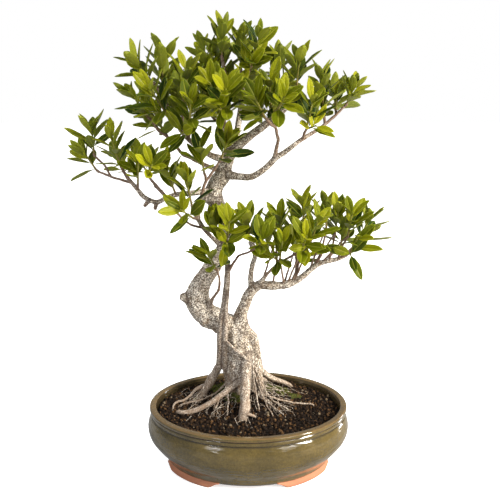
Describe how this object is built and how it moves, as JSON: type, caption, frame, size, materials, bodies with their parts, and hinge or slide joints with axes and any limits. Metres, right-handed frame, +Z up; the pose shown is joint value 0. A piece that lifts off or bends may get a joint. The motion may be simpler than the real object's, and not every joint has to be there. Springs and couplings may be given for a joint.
{
  "type": "ficus bonsai",
  "caption": "Ficus bonsai with an S-shaped trunk, aerial roots and leafy pads, planted in an oval glazed bowl pot on low feet.",
  "frame": {"origin": "on the ground, under the centre of the box round the whole plant and pot", "axes": "+Z up from the feet to the crown, +X to the right along the long side of the pot, +Y away from the front of the plant"},
  "size_m": [0.5054, 0.2676, 0.7203],
  "materials": {
    "glaze": "glossy olive glaze, with bare fired clay on the feet",
    "soil": "rough granular potting mix",
    "bark": "matt pale bark with fine lenticels",
    "leaves": "satin living leaf"
  },
  "bodies": {
    "root": {"pot": "glaze", "soil": "soil", "tree": "bark", "top_spray_01": "leaves", "top_spray_02": "leaves", "top_spray_03": "leaves", "top_spray_04": "leaves", "top_spray_05": "leaves", "top_spray_06": "leaves", "top_spray_07": "leaves", "top_spray_08": "leaves", "top_spray_09": "leaves", "top_spray_10": "leaves", "top_spray_11": "leaves", "top_spray_12": "leaves", "top_spray_13": "leaves", "top_spray_14": "leaves", "top_spray_15": "leaves", "top_spray_16": "leaves", "top_spray_17": "leaves", "top_spray_18": "leaves", "top_spray_19": "leaves", "top_spray_20": "leaves", "top_spray_21": "leaves", "top_spray_22": "leaves", "top_spray_23": "leaves", "top_spray_24": "leaves", "top_spray_25": "leaves", "top_spray_26": "leaves", "top_spray_27": "leaves", "middle_spray_01": "leaves", "middle_spray_02": "leaves", "middle_spray_03": "leaves", "middle_spray_04": "leaves", "left_spray_01": "leaves", "left_spray_02": "leaves", "left_spray_03": "leaves", "left_spray_04": "leaves", "left_spray_05": "leaves", "left_spray_06": "leaves", "left_spray_07": "leaves", "left_spray_08": "leaves", "right_spray_01": "leaves", "right_spray_02": "leaves", "right_spray_03": "leaves", "right_spray_04": "leaves", "right_spray_05": "leaves", "right_spray_06": "leaves", "right_spray_07": "leaves", "right_spray_08": "leaves", "right_spray_09": "leaves", "right_spray_10": "leaves", "right_spray_11": "leaves", "right_spray_12": "leaves", "right_spray_13": "leaves", "right_spray_14": "leaves", "right_spray_15": "leaves", "right_spray_16": "leaves", "right_spray_17": "leaves", "right_spray_18": "leaves"}
  },
  "joints": []
}
